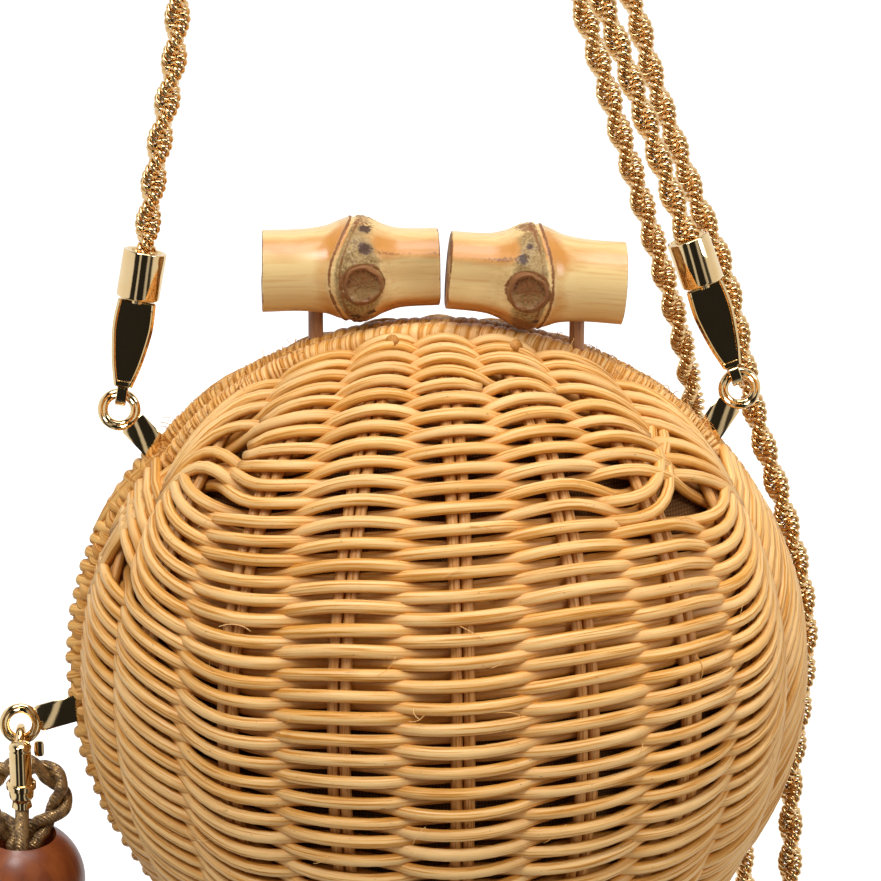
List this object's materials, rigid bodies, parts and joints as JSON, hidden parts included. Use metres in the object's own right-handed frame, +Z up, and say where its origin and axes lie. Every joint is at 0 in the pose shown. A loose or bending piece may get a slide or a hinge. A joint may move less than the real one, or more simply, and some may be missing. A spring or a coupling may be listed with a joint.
{
  "type": "woven clutch with chain strap",
  "caption": "Ball-shaped woven reed clutch with whipped rims, two bamboo clasp bars, a rope-chain strap and a ball charm on a snap hook.",
  "frame": {"origin": "centre of the bar that the doubled chain hangs over", "axes": "+X to the right as the bag is seen from its front, +Y to the back, +Z up"},
  "size_m": [0.2115, 0.1496, 0.4306],
  "materials": {
    "front_reed": "varnished split reed",
    "rear_reed": "varnished split reed, darker",
    "front_whipping": "flat reed whipping",
    "rear_whipping": "flat reed whipping",
    "lining": "dark cloth",
    "bamboo": "polished bamboo with darker node",
    "post_wood": "dark brown, matt",
    "gold": "polished gold plate",
    "chain_gold": "polished gold plate, rope chain",
    "hinge_brass": "satin brass",
    "bronze_rope": "bronzed cord, worn",
    "ball_wood": "waxed red-brown wood"
  },
  "bodies": {
    "strap": {"chain": "chain_gold", "left_ferrule": "gold", "right_ferrule": "gold"},
    "left_strap_end": {"left_strap_plate": "gold"},
    "right_strap_end": {"right_strap_plate": "gold"},
    "rear_half": {"rear_basket": "rear_reed", "rear_rim": "rear_whipping", "rear_lining": "lining", "left_post": "post_wood", "left_knob": "bamboo", "left_lug": "gold", "right_lug": "gold", "charm_lug": "gold", "rear_hinge_leaf": "hinge_brass", "hinge_pin": "hinge_brass"},
    "front_half": {"front_basket": "front_reed", "front_rim": "front_whipping", "front_lining": "lining", "right_post": "post_wood", "right_knob": "bamboo", "front_hinge_leaf": "hinge_brass"},
    "charm_hook": {"snap_hook": "gold"},
    "charm_trigger": {"snap_trigger": "gold"},
    "charm_drop": {"snap_swivel": "gold", "rope_stem": "bronze_rope", "rope_strand_1": "bronze_rope", "rope_strand_2": "bronze_rope", "wooden_ball": "ball_wood"}
  },
  "joints": [
    {"name": "left_end_turns", "type": "hinge", "parent": "strap", "child": "left_strap_end", "pos_m": [-0.05271, -0.0131, -0.25506], "axis": [0.1771, 0, 0.9842], "range_deg": [-8, 8]},
    {"name": "right_end_turns", "type": "hinge", "parent": "strap", "child": "right_strap_end", "pos_m": [0.09378, -0.0131, -0.25163], "axis": [-0.3387, 0, 0.9409], "range_deg": [-8, 8]},
    {"name": "bag_swings", "type": "hinge", "parent": "strap", "child": "rear_half", "pos_m": [-0.05271, -0.0111, -0.25506], "axis": [-0.9997, 0, -0.0234], "range_deg": [-4, 40]},
    {"name": "front_opens", "type": "hinge", "parent": "rear_half", "child": "front_half", "pos_m": [0.0223, -0.012, -0.4135], "axis": [1, 0, 0], "range_deg": [0, 75]},
    {"name": "charm_swings", "type": "hinge", "parent": "rear_half", "child": "charm_hook", "pos_m": [-0.0786, -0.0111, -0.3402], "axis": [-1, 0, 0], "range_deg": [-30, 30]},
    {"name": "trigger_opens", "type": "hinge", "parent": "charm_hook", "child": "charm_trigger", "pos_m": [-0.0786, -0.01303, -0.34658], "axis": [1, 0, 0], "range_deg": [0, 14], "stiffness_Nm_per_rad": 0.01, "springref_deg": -5.73},
    {"name": "charm_turns", "type": "hinge", "parent": "charm_hook", "child": "charm_drop", "pos_m": [-0.0786, -0.01564, -0.34092], "axis": [0, -0.1564, 0.9877], "continuous": true}
  ]
}
